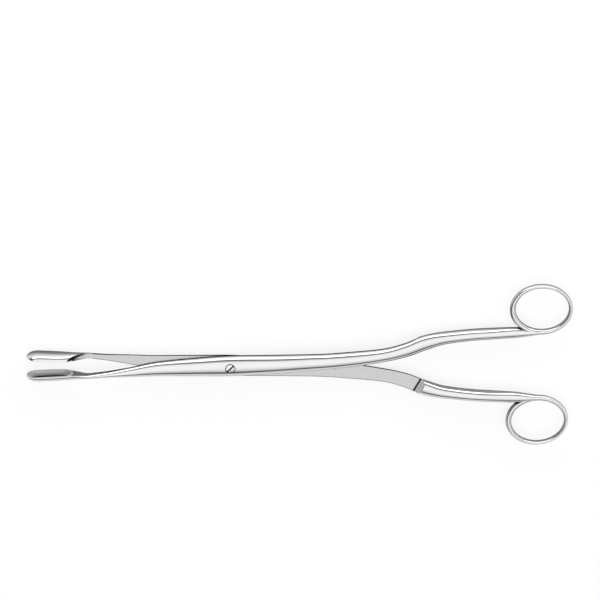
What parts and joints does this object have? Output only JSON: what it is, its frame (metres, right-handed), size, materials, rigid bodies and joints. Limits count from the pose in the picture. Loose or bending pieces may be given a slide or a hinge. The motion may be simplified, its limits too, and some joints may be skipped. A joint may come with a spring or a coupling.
{
  "type": "ovum forceps",
  "caption": "Long straight grasping forceps with cupped spoon jaws, a half-lapped screw joint, outward-bent handles and oval finger rings.",
  "frame": {"origin": "on the pivot axis, midway between the flats of the two arms, so at the middle of the joint", "axes": "+X towards the finger rings, -X towards the jaws, +Z along the pivot axis towards the screw's head, +Y towards the ring of the front arm"},
  "size_m": [0.279, 0.0918, 0.01],
  "materials": {
    "arm_steel": "mirror polished outside, satin on the flats of the joint",
    "screw_steel": "polished flush with the arms"
  },
  "bodies": {
    "rear_half": {"rear_arm": "arm_steel", "pivot_screw": "screw_steel"},
    "front_half": {"front_arm": "arm_steel"}
  },
  "joints": [
    {"name": "arm_pivot", "type": "hinge", "parent": "rear_half", "child": "front_half", "pos_m": [0, 0, 0], "axis": [0, 0, 1], "range_deg": [-5.1, 50]}
  ]
}
